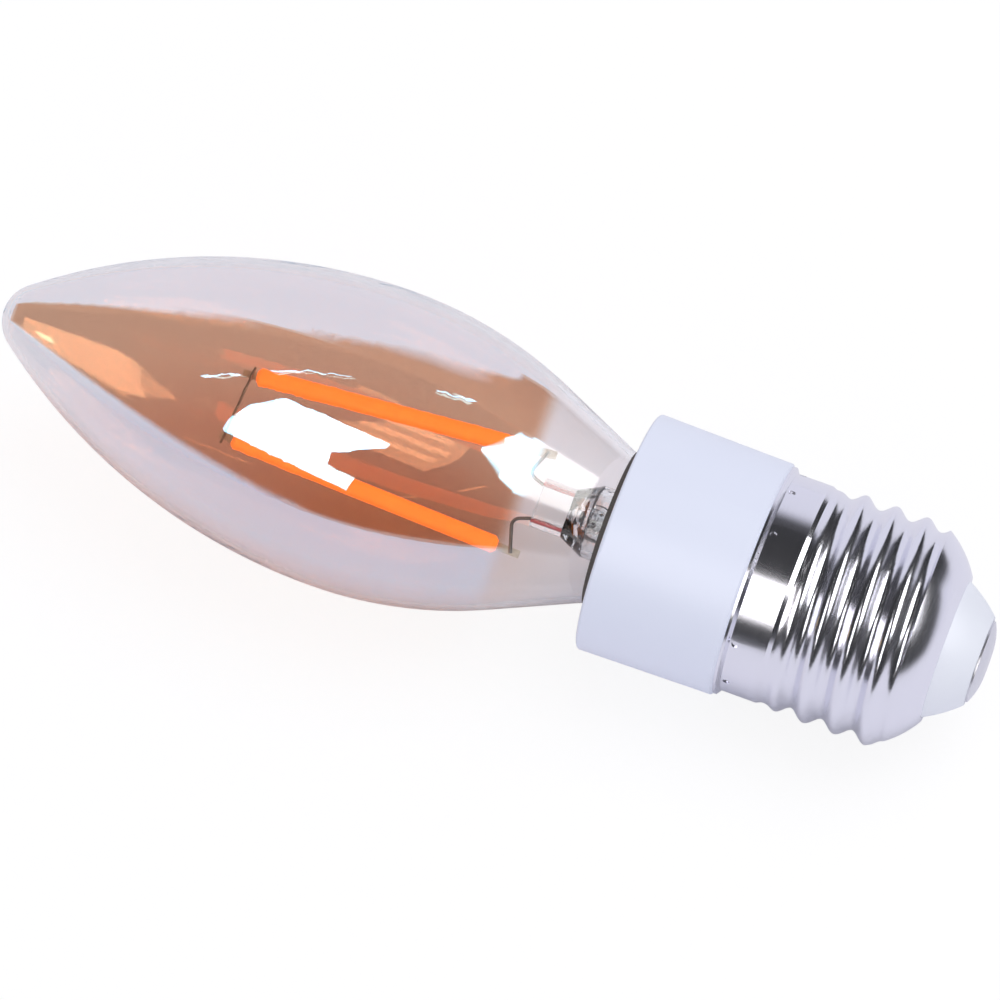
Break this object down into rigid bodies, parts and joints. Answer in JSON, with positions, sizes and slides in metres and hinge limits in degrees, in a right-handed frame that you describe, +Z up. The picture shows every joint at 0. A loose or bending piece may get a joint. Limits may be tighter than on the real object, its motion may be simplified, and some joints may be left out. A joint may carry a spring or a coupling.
{
  "type": "candle bulb",
  "caption": "Candle-shaped filament lamp with semi-mirror amber glass, a white driver collar and an Edison screw cap, lying on its side.",
  "frame": {"origin": "on the table, under the middle of the lying lamp", "axes": "+X from the glass tip towards the screw cap, along the table; +Z up"},
  "size_m": [0.1181, 0.035, 0.0353],
  "materials": {
    "amber_glass": "thin semi-mirror amber coat on clear glass",
    "clear_glass": "clear stem glass",
    "cement": "dark bonding cement",
    "lead_wire": "drawn nickel-plated wire",
    "phosphor": "silicone coated with phosphor",
    "tab_metal": "stamped metal",
    "white_plastic": "smooth moulded white",
    "nickel": "bright nickel plate",
    "white_insulator": "smooth moulded white",
    "contact_metal": "pressed metal",
    "board": "pale solder mask",
    "capacitor_sleeve": "shrink sleeve",
    "ferrite": "pressed ferrite",
    "copper": "enamelled copper",
    "black_epoxy": "moulded epoxy",
    "resistor_coat": "flameproof coat"
  },
  "bodies": {
    "root": {"glass_envelope": "amber_glass", "glass_stem": "clear_glass", "neck_cement": "cement", "lead_wire_1": "lead_wire", "lead_wire_2": "lead_wire", "filament_1": "phosphor", "filament_2": "phosphor", "filament_1_foot_tab": "tab_metal", "filament_1_head_tab": "tab_metal", "filament_2_foot_tab": "tab_metal", "filament_2_head_tab": "tab_metal", "bridge_wire": "lead_wire", "collar": "white_plastic", "screw_shell": "nickel", "cap_insulator": "white_insulator", "centre_contact": "contact_metal", "driver_board": "board", "bulk_capacitor": "capacitor_sleeve", "choke_core": "ferrite", "choke_winding": "copper", "bridge_rectifier": "black_epoxy", "driver_chip": "black_epoxy", "fuse_resistor": "resistor_coat", "neutral_wire": "copper"}
  },
  "joints": []
}
